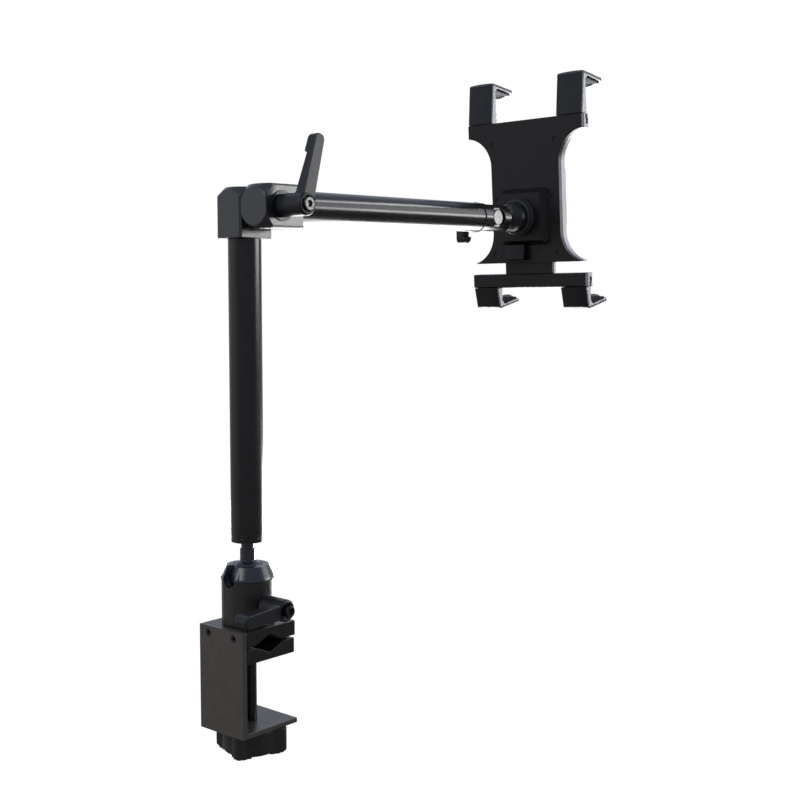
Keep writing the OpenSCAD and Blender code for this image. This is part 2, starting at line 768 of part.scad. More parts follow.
// Cradle: the tongue, its hub and its flange are one casting
module tilt_tongue() {
    color("#1e1f21") on_cradle() difference() {
        union() {
            along_y(tongue_t / 2) cylinder(r = tongue_r, h = tongue_t);
            translate([0, -tongue_t / 2, -tongue_r]) cube([hub_front + 6, tongue_t, 2 * tongue_r]);
            intersection() {
                translate([hub_front + dome_r, 0, 0]) sphere(r = dome_r);
                along_x(0) cylinder(r = hub_r, h = neck_u);
            }
            along_x(neck_u - 1) cylinder(r = hub_r - 0.9, h = flange_u - neck_u + 1);
            along_x(flange_u) cylinder(r = flange_r, h = flange_t);
        }
        along_y(tongue_t) cylinder(d = bolt_d + 2 * run_fit, h = 2 * tongue_t);
    }
}

module swivel_ring() {
    color("#17181a") on_cradle() along_x(ring_u) rotate_extrude() polygon([
        [hub_r - 0.9 + run_fit, 0.6], [hub_r - 0.3, 0], [ring_r - 2, 0], [ring_r - 0.9, 1],
        [ring_r - 0.9, 4], [ring_r, 5], [ring_r, block_u - ring_u],
        [hub_r - 0.9 + run_fit, block_u - ring_u]]);
}

module rear_block() {
    color("#1b1c1e") on_cradle() difference() {
        along_x(block_u) round_slab(block_base, block_base, block_t, block_round);
        for (i = [0 : 3]) {
            rotate([90 * i, 0, 0]) translate([block_u, 0, block_side / 2])
                rotate([0, -block_slope, 0]) translate([-block_t, -block_base, 0])
                    cube([3 * block_t, 2 * block_base, block_base]);
        }
        along_x(block_u - cut) cylinder(r = hub_r - 0.9 + run_fit, h = block_t + 2 * cut);
        along_x(flange_u - run_fit) cylinder(r = flange_r + run_fit, h = block_t);
    }
}

// Clip behind the flange, between the block and the rear cover
module swivel_clip() {
    color("#9b9da0") on_cradle() along_x(flange_u + flange_t + run_fit) difference() {
        cylinder(r = flange_r, h = cradle_u - flange_u - flange_t - run_fit);
        translate([0, 0, -cut]) cylinder(r = flange_r - 5, h = 10);
    }
}

// Its top edge follows the block's slope, and a stem reaches the slide through the cover
module release_tab() {
    foot = -block_base / 2 - 1;
    color("#141516") on_cradle() {
        translate([0, tab_y + tab_w / 2, 0]) rotate([90, 0, 0]) linear_extrude(tab_w) polygon([
            [cradle_u - 0.3, foot], [cradle_u - 4.6, foot + 4.6 * tan(block_slope)],
            [cradle_u - 8, foot - tab_h + 3.5], [cradle_u - 7.4, foot - tab_h + 2], [cradle_u - 0.3, foot - tab_h + 2]]);
        translate([cradle_u - 1, tab_y - tab_stem / 2, foot - tab_h / 2 - tab_stem / 2])
            cube([1 + cover_t - slide_cover_t - 2 * slide_fit, tab_stem, tab_stem]);
    }
}

// The cradle's outline, as a solid from u0 to u1; the bevel widens the cuts at the front
module cradle_outline(u0, u1, grow = 0, bevel = 0) {
    difference() {
        translate([u0, -top_half - grow, -cradle_foot - grow])
            cube([u1 - u0, 2 * (top_half + grow), cradle_top + cradle_foot + 2 * grow]);
        for (s = [-1, 1]) {
            flare_cut(u0, u1, s, cradle_top - rail_h - flare_r, flare_r - grow, bevel);
            flare_cut(u0, u1, s, -cradle_foot + flare_r, flare_r - grow, bevel);
            translate([u0 - cut, s > 0 ? waist_half + grow : -waist_half - grow - 60, -cradle_foot + flare_r])
                cube([u1 - u0 + 2 * cut, 60, cradle_top - rail_h + cradle_foot - 2 * flare_r]);
            translate([u0 - cut, s > 0 ? foot_half + grow : -foot_half - grow - 60, -cradle_foot - 20])
                cube([u1 - u0 + 2 * cut, 60, flare_r + 20]);
            translate([u0 - cut, s > 0 ? waist_half + flare_r : -waist_half - flare_r - 60, -cradle_foot])
                cube([u1 - u0 + 2 * cut, 60, cradle_top - rail_h + cradle_foot]);
        }
    }
}

module flare_cut(u0, u1, s, w, r, bevel) {
    translate([u0 - cut, s * (waist_half + flare_r), w]) rotate([0, 90, 0])
        cylinder(r = r, h = u1 - u0 + 2 * cut);
    if (bevel > 0) {
        translate([u1 - bevel, s * (waist_half + flare_r), w]) rotate([0, 90, 0])
            cylinder(r1 = r, r2 = r + bevel, h = bevel + 0.01);
    }
}

module each_cover_screw() {
    for (i = [0 : 2], s = [-1, 1]) {
        translate([0, s * screw_half[i], screw_rows[i]]) children();
    }
}

module rear_cover() {
    color("#1a1b1d") on_cradle() difference() {
        cradle_outline(cradle_u, cover_front);
        each_cover_screw() {
            along_x(cradle_u - cut) cylinder(d = screw_head_d + 0.5, h = 2.5 + cut);
            along_x(cradle_u) cylinder(d = screw_shank_d + 0.2, h = cover_t + cut);
        }
        translate([cover_front - slide_cover_t - slide_fit, -slide_half - slide_fit, -cradle_foot - cut])
            cube([slide_cover_t + slide_fit + cut, 2 * (slide_half + slide_fit), slide_inside + bar_gap + cut]);
        translate([cradle_u - cut, tab_y - tab_stem / 2 - turn_gap,
                -block_base / 2 - 1 - tab_h / 2 - tab_stem / 2 - turn_gap])
            cube([cover_t + 2 * cut, tab_stem + 2 * turn_gap, tab_stem + 2 * turn_gap]);
    }
}

module cover_screws() {
    color("#0c0d0e") on_cradle() each_cover_screw() difference() {
        union() {
            along_x(cradle_u + 0.9) cylinder(d = screw_head_d, h = 1.6);
            along_x(cradle_u + 1) cylinder(d = screw_shank_d, h = cover_t - 1 + screw_bite);
        }
        along_x(cradle_u) cylinder(d = 2.3, h = 1.9, $fn = 6);
    }
}

// T slot along a rail whose open edge is at w = edge, running down by the sign of way
module tee_slot(edge, way) {
    translate([tee_mid - tee_throat / 2, -top_half - cut, way > 0 ? edge - tee_throat_h - cut : edge - cut])
        cube([tee_throat, 2 * (top_half + cut), tee_throat_h + 2 * cut]);
    translate([tee_mid - tee_wide / 2, -top_half - cut, way > 0 ? edge - tee_h : edge + tee_throat_h])
        cube([tee_wide, 2 * (top_half + cut), tee_h - tee_throat_h]);
}

module front_plate() {
    color("#c9cbce") on_cradle() difference() {
        cradle_outline(cover_front, plate_front, 0, 1.6);
        tee_slot(cradle_top, 1);
        each_cover_screw() along_x(cover_front - cut) cylinder(d = screw_shank_d, h = screw_bite + 2 * cut);
        translate([cover_front - cut, -slide_half - slide_fit, -cradle_foot - cut])
            cube([slide_t + 2 * slide_fit + cut, 2 * (slide_half + slide_fit), slide_inside + bar_gap + cut]);
    }
}

module front_pads() {
    color("#1b1b1c") on_cradle() {
        for (s = [-1, 1]) {
            translate([plate_front, s * pad_y - pad_w / 2, cradle_top - rail_h + 1])
                cube([pad_t, pad_w, rail_h - 3]);
            translate([plate_front, s * strip_y - strip_w / 2, strip_foot]) cube([pad_t, strip_w, strip_h]);
        }
    }
}

module slide_bar() {
    color("#bfc1c4") on_cradle() translate([slide_u, -slide_half, bar_top - 2])
        cube([slide_t, 2 * slide_half, slide_top - bar_top + 2]);
}

module slide_cover() {
    color("#1c1d1f") on_cradle() translate([cover_front - slide_cover_t, -slide_half, bar_top])
        cube([slide_cover_t + slide_fit, 2 * slide_half, slide_top - bar_top]);
}

module lower_rail() {
    color("#c9cbce") on_cradle() difference() {
        translate([cover_front, -top_half, bar_foot]) cube([plate_t, 2 * top_half, bar_h]);
        tee_slot(bar_foot, -1);
        translate([cover_front - cut, -slide_half, bar_top - 2])
            cube([slide_t + slide_fit + cut, 2 * slide_half, 2 + cut]);
    }
}

module lower_rail_cover() {
    color("#1c1d1f") on_cradle() difference() {
        translate([cradle_u, -top_half, bar_foot]) cube([cover_t, 2 * top_half, bar_h]);
        for (w = [bar_foot, bar_top]) {
            translate([cradle_u, 0, w]) rotate([0, 45, 0])
                cube([1.4, 2 * (top_half + cut), 1.4], center = true);
        }
    }
}

// One hook in a frame whose X is the cradle's normal and whose Z rises from the rail's edge.
// The runner hangs in the T slot below z = 0.
module hook_profile(rise) {
    fall = hook_arm_fall;
    back = cradle_u + 0.5 + hook_cover_t;
    front = cradle_u + hook_reach;
    translate([0, hook_w / 2, 0]) rotate([90, 0, 0]) linear_extrude(hook_w) polygon([
        [back, rail_gap], [tee_mid + tee_throat / 2, rail_gap],
        [back + hook_lean + hook_wall, rise - hook_arm_t - hook_cover_t - 4],
        [back + hook_lean + hook_wall + 4, rise - hook_arm_t - hook_cover_t],
        [front, rise - hook_arm_t - hook_cover_t - fall * 0.85],
        [front, rise - hook_cover_t - fall], [back + hook_lean, rise - hook_cover_t]]);
}

module hook_frame(rise) {
    front = cradle_u + hook_reach;
    hook_profile(rise);
    // round lip at the front end
    intersection() {
        translate([front - lip_t, 0, rise - hook_arm_fall - lip_drop + hook_w / 2])
            rotate([0, 90, 0]) cylinder(d = hook_w, h = lip_t);
        translate([front - lip_t, -hook_w / 2, rise - hook_arm_fall - lip_drop])
            cube([lip_t, hook_w, lip_drop - hook_cover_t]);
    }
    // runner in the T slot
    translate([tee_mid - tee_throat / 2 + slide_fit, -hook_w / 2 + 1, -tee_throat_h - slide_fit])
        cube([tee_throat - 2 * slide_fit, hook_w - 2, tee_throat_h + slide_fit + rail_gap + cut]);
    translate([tee_mid - tee_wide / 2 + slide_fit, -hook_w / 2 + 1, -tee_h + slide_fit])
        cube([tee_wide - 2 * slide_fit, hook_w - 2, tee_h - tee_throat_h - 2 * slide_fit]);
}

// The cover is crowned across its width, by one wide curve down the leg and one along the arm
module hook_cover(rise) {
    back = cradle_u + 0.5 + hook_cover_t;
    front = cradle_u + hook_reach;
    t = hook_cover_t + hook_crown;
    leg_angle = atan(hook_lean / rise);
    arm_angle = atan(hook_arm_fall / (front - back - hook_lean));
    intersection() {
        translate([0, hook_w / 2, 0]) rotate([90, 0, 0]) linear_extrude(hook_w) polygon([
            [back, rail_gap], [back + hook_lean, rise - hook_cover_t],
            [front, rise - hook_cover_t - hook_arm_fall], [front, rise + hook_crown - hook_arm_fall],
            [back + hook_lean + 1, rise + hook_crown], [back + hook_lean - t, rise - 2],
            [back - t, rail_gap]]);
        translate([back - t, 0, 0]) rotate([0, leg_angle, 0])
            translate([crown_r, 0, -rise]) cylinder(r = crown_r, h = 3 * rise, $fn = 900);
        translate([back + hook_lean, 0, rise + hook_crown]) rotate([0, 90 + arm_angle, 0])
            translate([crown_r, 0, -2 * rise]) cylinder(r = crown_r, h = 6 * rise, $fn = 900);
    }
}

module hook_pad(rise) {
    inner = cradle_u + 0.5 + hook_cover_t + hook_lean + hook_wall + 4;
    lip = cradle_u + hook_reach - lip_t;
    under = rise - hook_arm_t - hook_cover_t;
    slope = hook_arm_fall * 0.85 / (cradle_u + hook_reach - inner);
    translate([0, hook_w / 2 - 1, 0]) rotate([90, 0, 0]) linear_extrude(hook_w - 2) polygon([
        [inner, under], [lip, under - slope * (lip - inner)],
        [lip, under - slope * (lip - inner) - hook_pad_t],
        [inner + 0.6, under - slope * 0.6 - hook_pad_t - 0.6]]);
}

module at_hook(upper, side) {
    on_cradle() translate([0, side * hook_y, upper ? cradle_top : bar_foot])
        mirror([0, 0, upper ? 0 : 1]) children();
}

module hook_upper_left() { color("#cfd1d4") at_hook(true, 1) hook_frame(upper_rise); }
module hook_upper_right() { color("#cfd1d4") at_hook(true, -1) hook_frame(upper_rise); }
module hook_lower_left() { color("#cfd1d4") at_hook(false, 1) hook_frame(lower_rise); }
module hook_lower_right() { color("#cfd1d4") at_hook(false, -1) hook_frame(lower_rise); }
module hook_upper_left_cover() { color("#1d222b") at_hook(true, 1) hook_cover(upper_rise); }
module hook_upper_right_cover() { color("#1d222b") at_hook(true, -1) hook_cover(upper_rise); }
module hook_lower_left_cover() { color("#1d222b") at_hook(false, 1) hook_cover(lower_rise); }
module hook_lower_right_cover() { color("#1d222b") at_hook(false, -1) hook_cover(lower_rise); }
module hook_upper_left_pad() { color("#242425") at_hook(true, 1) hook_pad(upper_rise); }
module hook_upper_right_pad() { color("#242425") at_hook(true, -1) hook_pad(upper_rise); }
module hook_lower_left_pad() { color("#242425") at_hook(false, 1) hook_pad(lower_rise); }
module hook_lower_right_pad() { color("#242425") at_hook(false, -1) hook_pad(lower_rise); }

clamp_frame();
fixed_jaw();
jaw_screws();
moving_jaw();
jaw_pin();
clamp_screw();
clamp_knob();
knob_cap();
head_bolt();
head_body();
head_collar();
ball_seat();
ball_stem();
stem_nut();
head_lever_stud();
head_lever();
head_lever_screw();
post_foot();
post_tube();
post_knuckle();
elbow_axle();
friction_disc();
arm_knuckle();
elbow_washer();
elbow_lever();
elbow_lever_screw();
arm_tube();
arm_ring();
arm_fork();
tilt_bolt();
tilt_lever();
tilt_lever_screw();
tilt_tongue();
swivel_ring();
rear_block();
swivel_clip();
release_tab();
rear_cover();
cover_screws();
front_plate();
front_pads();
slide_bar();
slide_cover();
lower_rail();
lower_rail_cover();
hook_upper_left();
hook_upper_left_cover();
hook_upper_left_pad();
hook_upper_right();
hook_upper_right_cover();
hook_upper_right_pad();
hook_lower_left();
hook_lower_left_cover();
hook_lower_left_pad();
hook_lower_right();
hook_lower_right_cover();
hook_lower_right_pad();
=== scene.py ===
import json
import math
import bpy
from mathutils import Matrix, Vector


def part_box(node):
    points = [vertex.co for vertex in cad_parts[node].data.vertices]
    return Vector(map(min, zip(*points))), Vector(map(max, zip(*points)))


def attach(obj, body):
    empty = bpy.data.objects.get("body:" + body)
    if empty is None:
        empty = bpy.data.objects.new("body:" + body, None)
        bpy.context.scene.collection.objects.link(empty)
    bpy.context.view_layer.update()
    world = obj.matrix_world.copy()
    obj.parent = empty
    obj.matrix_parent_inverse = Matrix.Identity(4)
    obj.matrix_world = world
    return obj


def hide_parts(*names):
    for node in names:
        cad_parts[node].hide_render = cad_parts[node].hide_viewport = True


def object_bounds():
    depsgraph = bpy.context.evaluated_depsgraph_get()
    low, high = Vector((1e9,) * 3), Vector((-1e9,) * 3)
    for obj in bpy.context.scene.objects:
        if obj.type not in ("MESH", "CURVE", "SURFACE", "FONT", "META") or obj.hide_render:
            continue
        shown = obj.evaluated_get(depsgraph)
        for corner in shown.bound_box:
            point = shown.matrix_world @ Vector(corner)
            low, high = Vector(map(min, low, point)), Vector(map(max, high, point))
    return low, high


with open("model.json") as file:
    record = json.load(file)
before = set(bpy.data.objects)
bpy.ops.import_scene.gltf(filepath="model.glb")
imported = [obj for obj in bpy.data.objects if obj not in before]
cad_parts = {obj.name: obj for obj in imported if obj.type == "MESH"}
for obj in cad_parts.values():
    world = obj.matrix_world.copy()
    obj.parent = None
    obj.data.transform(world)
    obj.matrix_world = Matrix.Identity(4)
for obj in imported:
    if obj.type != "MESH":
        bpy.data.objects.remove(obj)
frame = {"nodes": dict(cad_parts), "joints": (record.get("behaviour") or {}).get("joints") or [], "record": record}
cadBox = [list(corner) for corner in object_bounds()]
nodes = frame["nodes"]
record = frame["record"]
joints = {joint["name"]: joint for joint in frame["joints"]}
bodyOfNode = {node: body for body, members in record["behaviour"]["bodies"].items() for node in members}
mm = 0.001
print("frame loaded:", len(nodes), "nodes")


# Small helpers

def camelName(node):
    words = node.split("_")
    return words[0] + "".join(word.capitalize() for word in words[1:])


def deselectAll():
    for thing in bpy.context.selected_objects:
        thing.select_set(False)


def makeActive(piece):
    deselectAll()
    piece.select_set(True)
    bpy.context.view_layer.objects.active = piece


def placeInMesh(piece):  # a finished piece sits at the origin, with its place in its mesh
    makeActive(piece)
    bpy.ops.object.transform_apply(location=True, rotation=True, scale=True)


def applyModifiers(piece):
    makeActive(piece)
    for modifier in list(piece.modifiers):
        bpy.ops.object.modifier_apply(modifier=modifier.name)


def surfaceArea(mesh):
    return sum(face.area for face in mesh.polygons)


edgeTest = {"angle": 30, "areaGain": 1.0005, "offSurface": 0.6, "shares": (1, 0.7, 0.45, 0.25)}  # degrees


def bevelEdges(piece, width, steps, clamp=False):
    bevel = piece.modifiers.new("edges", "BEVEL")
    bevel.width = width * mm
    bevel.segments = steps
    bevel.limit_method = "ANGLE"
    bevel.angle_limit = math.radians(edgeTest["angle"])
    bevel.harden_normals = True
    bevel.use_clamp_overlap = clamp
    applyModifiers(piece)


def edgesHeld(piece, source, area, width):  # a bevel that folds over itself adds area or leaves the surface
    if surfaceArea(piece.data) > area * edgeTest["areaGain"]:
        return False
    for vertex in piece.data.vertices:
        found, place, normal, index = source.closest_point_on_mesh(vertex.co)
        if found and (place - vertex.co).length > edgeTest["offSurface"] * width * mm:
            return False
    return True


def roundEdges(piece, source, width, steps):  # takes the widest rounding that the piece's edges hold
    sharp = piece.data.copy()
    area = surfaceArea(sharp)
    for share in edgeTest["shares"]:
        piece.data = sharp.copy()
        bevelEdges(piece, width * share, steps)
        if edgesHeld(piece, source, area, width * share):
            return share
    piece.data = sharp.copy()
    bevelEdges(piece, width, steps, clamp=True)
    return 0


def smoothShade(piece, angle=edgeTest["angle"]):
    makeActive(piece)
    bpy.ops.object.shade_smooth_by_angle(angle=math.radians(angle))


def dress(piece, material):
    piece.data.materials.clear()
    piece.data.materials.append(material)


weld = {"gap": 0.02, "flatAngle": 0.2}  # millimetres, degrees


def mergedCopy(node):  # the node's loose triangles welded into one clean skin
    piece = bpy.data.objects.new(camelName(node), nodes[node].data.copy())
    bpy.context.scene.collection.objects.link(piece)
    makeActive(piece)
    bpy.ops.object.mode_set(mode="EDIT")
    bpy.ops.mesh.select_all(action="SELECT")
    bpy.ops.mesh.remove_doubles(threshold=weld["gap"] * mm)
    bpy.ops.mesh.dissolve_degenerate(threshold=weld["gap"] * mm)
    bpy.ops.mesh.dissolve_limited(angle_limit=math.radians(weld["flatAngle"]))
    bpy.ops.object.mode_set(mode="OBJECT")
    if piece.data.has_custom_normals:
        bpy.ops.mesh.customdata_custom_splitnormals_clear()
    return piece


def standIn(piece, node, finish):  # the piece takes the node's place and body, and is dressed in the given finish
    dress(piece, finish)
    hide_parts(node)
    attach(piece, bodyOfNode[node])


def finishNode(looks):  # a rigid piece with its edges broken, as the real one has
    node = looks["node"]
    piece = mergedCopy(node)
    smoothShade(piece)
    share = roundEdges(piece, nodes[node], looks["edge"], looks["steps"])
    if share < 1:
        print("narrower edges:", node, share)
    standIn(piece, node, looks["finish"])


def mouldNode(looks):  # a moulded piece, with its edges as soft as the mould's own
    node = looks["node"]
    piece = mergedCopy(node)
    skin = piece.modifiers.new("skin", "REMESH")
    skin.mode = "VOXEL"
    skin.voxel_size = looks["grid"] * mm
    skin.use_smooth_shade = True
    soften = piece.modifiers.new("soften", "SMOOTH")
    soften.factor = looks["pull"]
    soften.iterations = looks["passes"]
    applyModifiers(piece)
    standIn(piece, node, looks["finish"])


def finishGroup(group):
    for looks in group:
        finishNode(looks)


def dressNodes(material, *names):  # hidden nodes keep their own mesh and get a finish
    for name in names:
        nodes[name].material_slots[0].material = material


# Materials: colours are sRGB hex values, sizes are in millimetres
# The grain of blasting, moulding and oxide is too fine for a render, so it is drawn at 0.35 to 0.9 mm

def linearColour(code):  # by the sRGB curve
    values = [int(code[i:i + 2], 16) / 255 for i in (1, 3, 5)]
    return tuple(v / 12.92 if v <= 0.04045 else ((v + 0.055) / 1.055) ** 2.4 for v in values) + (1,)


def perMetre(size):  # texture scale for a grain of that size in millimetres
    return 1 / (size * mm)


def addNode(tree, kind, settings=None, links=None):  # settings by input name or place, else by property
    node = tree.nodes.new(kind)
    for key, value in (settings or {}).items():
        if isinstance(key, int) or key in node.inputs:
            node.inputs[key].default_value = value
        else:
            setattr(node, key, value)
    for key, source in (links or {}).items():
        tree.links.new(source, node.inputs[key])
    return node


pattern = {"grainDetail": 3.0, "grainRoughness": 0.6, "cloudDetail": 2.0,
           "colourFrom": 0.36, "colourTo": 0.64, "glossFrom": 0.35, "glossTo": 0.65}


def surfaceMaterial(name, look):  # fine grain over slow clouds moves the colour and the gloss together
    material = bpy.data.materials.new(name)
    material.use_nodes = True
    tree = material.node_tree
    tree.nodes.clear()
    place = addNode(tree, "ShaderNodeTexCoord").outputs["Object"]
    drawn = addNode(tree, "ShaderNodeMapping", {"Scale": look.get("stretch", (1, 1, 1))},
                    {"Vector": place}).outputs["Vector"]
    grain = addNode(tree, "ShaderNodeTexNoise", {"Scale": perMetre(look["grain"]),
                    "Detail": pattern["grainDetail"], "Roughness": pattern["grainRoughness"]},
                    {"Vector": drawn}).outputs["Fac"]
    cloud = addNode(tree, "ShaderNodeTexNoise", {"Scale": perMetre(look["cloud"]),
                    "Detail": pattern["cloudDetail"]}, {"Vector": place}).outputs["Fac"]
    mixed = addNode(tree, "ShaderNodeMix", {"data_type": "FLOAT", "Factor": look.get("speckle", 0.5)},
                    {2: cloud, 3: grain}).outputs[0]
    ramp = addNode(tree, "ShaderNodeValToRGB", {}, {"Fac": mixed})
    ramp.color_ramp.elements[0].position = pattern["colourFrom"]
    ramp.color_ramp.elements[1].position = pattern["colourTo"]
    ramp.color_ramp.elements[0].color = linearColour(look["dark"])
    ramp.color_ramp.elements[1].color = linearColour(look["light"])
    gloss = addNode(tree, "ShaderNodeMapRange", {"To Min": look["rough"][0], "To Max": look["rough"][1],
                    "From Min": pattern["glossFrom"], "From Max": pattern["glossTo"]},
                    {"Value": mixed}).outputs["Result"]
    bump = addNode(tree, "ShaderNodeBump", {"Strength": look["bump"], "Distance": look["relief"] * mm},
                   {"Height": grain}).outputs["Normal"]
    shader = addNode(tree, "ShaderNodeBsdfPrincipled", {"Metallic": look.get("metallic", 0.0),
                     "IOR": look.get("ior", 1.5), "Specular IOR Level": look.get("specular", 0.5)},
                     {"Base Color": ramp.outputs["Color"], "Roughness": gloss, "Normal": bump})
    addNode(tree, "ShaderNodeOutputMaterial", {}, {"Surface": shader.outputs["BSDF"]})
    return material


# Powder-coated mild steel: a brown-black satin skin with a fine orange peel
powderCoat = surfaceMaterial("powderCoatedSteel", {
    "dark": "#453f3b", "light": "#524b46", "rough": (0.26, 0.36), "grain": 0.7, "cloud": 14,
    "speckle": 0.7, "bump": 0.25, "relief": 0.05, "ior": 1.5})
# Machined steel under thin black paint: tight grain, a little glossier
blackPaint = surfaceMaterial("blackPaintedSteel", {
    "dark": "#17181a", "light": "#1e1f22", "rough": (0.26, 0.36), "grain": 0.5, "cloud": 9,
    "speckle": 0.6, "bump": 0.18, "relief": 0.03, "ior": 1.5})
# Black-oxide steel, as on socket screws: darker, oily sheen
blackOxide = surfaceMaterial("blackOxideSteel", {
    "dark": "#0b0c0c", "light": "#131415", "rough": (0.24, 0.34), "grain": 0.4, "cloud": 5,
    "bump": 0.1, "relief": 0.02, "ior": 1.6})
# Black-anodised aluminium tube: the oxide is glossy, and the draw lines run along it, upright on the post
anodisedPost = surfaceMaterial("anodisedTubeUpright", {
    "dark": "#111215", "light": "#17181c", "rough": (0.2, 0.28), "grain": 0.35, "cloud": 30,
    "speckle": 0.5, "stretch": (1, 1, 0.01), "bump": 0.06, "relief": 0.02, "ior": 1.6})
anodisedArm = surfaceMaterial("anodisedTubeLevel", {
    "dark": "#111215", "light": "#17181c", "rough": (0.17, 0.25), "grain": 0.35, "cloud": 30,
    "speckle": 0.5, "stretch": (0.01, 1, 1), "bump": 0.06, "relief": 0.02, "ior": 1.6})
# Bead-blasted then anodised blocks: the same black with a fine sparkle
anodisedBlock = surfaceMaterial("anodisedBlastedBlock", {
    "dark": "#191b21", "light": "#22252c", "rough": (0.2, 0.3), "grain": 0.45, "cloud": 16,
    "speckle": 0.75, "bump": 0.16, "relief": 0.03, "ior": 1.85})
# Turned and anodised: rings left by the lathe run round the upright axis, and the collar is bluer
anodisedTurned = surfaceMaterial("anodisedTurnedHead", {
    "dark": "#1e1c1b", "light": "#272523", "rough": (0.28, 0.38), "grain": 0.5, "cloud": 12,
    "speckle": 0.55, "stretch": (0.02, 0.02, 1), "bump": 0.12, "relief": 0.03, "ior": 1.65})
anodisedCollar = surfaceMaterial("anodisedTurnedCollar", {
    "dark": "#1c212a", "light": "#262b36", "rough": (0.2, 0.28), "grain": 0.45, "cloud": 12,
    "speckle": 0.55, "stretch": (0.02, 0.02, 1), "bump": 0.12, "relief": 0.03, "ior": 1.75})
# Die-cast zinc levers under satin black enamel: soft, slightly pebbled
leverEnamel = surfaceMaterial("enamelledZincLever", {
    "dark": "#15171b", "light": "#1f2126", "rough": (0.3, 0.42), "grain": 0.6, "cloud": 8,
    "speckle": 0.75, "bump": 0.3, "relief": 0.05, "ior": 1.52})
# Glass-filled nylon, spark-eroded mould: matte black with fine grain
mouldedNylon = surfaceMaterial("mouldedNylon", {
    "dark": "#1f1e1e", "light": "#292828", "rough": (0.34, 0.44), "grain": 0.45, "cloud": 18,
    "speckle": 0.6, "bump": 0.3, "relief": 0.04, "ior": 1.5})
# ABS cradle cover: an even satin, the deepest black of the plastics
coverPlastic = surfaceMaterial("mouldedAbsCover", {
    "dark": "#0c0d0f", "light": "#121315", "rough": (0.38, 0.48), "grain": 0.4, "cloud": 25,
    "speckle": 0.5, "bump": 0.22, "relief": 0.03, "ior": 1.5})
# Satin ABS on the hooks, slightly blue-black
hookPlastic = surfaceMaterial("satinAbsHook", {
    "dark": "#0d1016", "light": "#13171e", "rough": (0.3, 0.38), "grain": 0.4, "cloud": 14,
    "speckle": 0.5, "bump": 0.15, "relief": 0.03, "ior": 1.5})
# Silver-anodised aluminium, finely brushed: a pale satin metal that spreads each reflection wide
silverAnodised = surfaceMaterial("silverAnodisedAluminium", {
    "dark": "#a6a8ac", "light": "#babcc0", "rough": (0.54, 0.64), "grain": 0.8, "cloud": 20,
    "speckle": 0.6, "stretch": (1, 0.05, 1), "bump": 0.04, "relief": 0.01, "metallic": 1.0})
# Nickel-plated steel, as on the pivot bolt: bright with a dark blasted speckle
nickelPlate = surfaceMaterial("nickelPlatedSteel", {
    "dark": "#464646", "light": "#9a9a98", "rough": (0.28, 0.42), "grain": 0.9, "cloud": 3,
    "speckle": 0.8, "bump": 0.8, "relief": 0.12, "metallic": 1.0})
# Zinc-plated steel for the hidden hardware: duller and a little blue
zincPlate = surfaceMaterial("zincPlatedSteel", {
    "dark": "#8d9196", "light": "#a9adb1", "rough": (0.34, 0.48), "grain": 0.6, "cloud": 6,
    "bump": 0.15, "relief": 0.03, "metallic": 1.0})
# EPDM rubber: a dry black that swallows light, because its pores take most of the sheen
padRubber = surfaceMaterial("epdmRubber", {
    "dark": "#161617", "light": "#202021", "rough": (0.66, 0.8), "grain": 0.5, "cloud": 7,
    "bump": 0.4, "relief": 0.05, "ior": 1.45, "specular": 0.2})
# Natural acetal of the ball seat and the friction disc: waxy off-white
waxyAcetal = surfaceMaterial("naturalAcetal", {
    "dark": "#cdc9be", "light": "#dedacf", "rough": (0.36, 0.46), "grain": 0.8, "cloud": 9,
    "bump": 0.1, "relief": 0.03, "ior": 1.48})
print("materials made:", len(bpy.data.materials))


# Table clamp
finishGroup([
    {"node": "clamp_frame", "edge": 0.45, "steps": 3, "finish": powderCoat},
    {"node": "fixed_jaw", "edge": 0.35, "steps": 3, "finish": blackPaint},
    {"node": "moving_jaw", "edge": 0.35, "steps": 3, "finish": blackPaint},
    {"node": "jaw_screws", "edge": 0.18, "steps": 2, "finish": blackOxide},
    {"node": "clamp_screw", "edge": 0.2, "steps": 2, "finish": blackOxide},
    {"node": "knob_cap", "edge": 0.2, "steps": 2, "finish": mouldedNylon},
])
mouldNode({"node": "clamp_knob", "grid": 0.55, "pull": 0.5, "passes": 8, "finish": mouldedNylon})
dressNodes(zincPlate, "jaw_pin")
print("table clamp dressed")

# Ball head
finishGroup([
    {"node": "head_body", "edge": 0.4, "steps": 3, "finish": anodisedTurned},
    {"node": "head_collar", "edge": 0.35, "steps": 3, "finish": anodisedCollar},
    {"node": "ball_stem", "edge": 0.3, "steps": 2, "finish": anodisedCollar},
    {"node": "head_lever", "edge": 1.1, "steps": 4, "finish": leverEnamel},
    {"node": "head_lever_screw", "edge": 0.2, "steps": 2, "finish": blackOxide},
])
dressNodes(waxyAcetal, "ball_seat")
dressNodes(blackOxide, "head_bolt")
dressNodes(zincPlate, "stem_nut", "head_lever_stud")
print("ball head dressed")

# Post and elbow
finishGroup([
    {"node": "post_foot", "edge": 0.3, "steps": 3, "finish": anodisedPost},
    {"node": "post_tube", "edge": 0.3, "steps": 3, "finish": anodisedPost},
    {"node": "post_knuckle", "edge": 0.45, "steps": 3, "finish": anodisedBlock},
    {"node": "arm_knuckle", "edge": 0.45, "steps": 3, "finish": anodisedBlock},
    {"node": "elbow_washer", "edge": 0.2, "steps": 2, "finish": blackOxide},
    {"node": "elbow_lever", "edge": 1.1, "steps": 4, "finish": leverEnamel},
    {"node": "elbow_lever_screw", "edge": 0.25, "steps": 3, "finish": nickelPlate},
])
dressNodes(waxyAcetal, "friction_disc")
dressNodes(zincPlate, "elbow_axle")
print("post and elbow dressed")

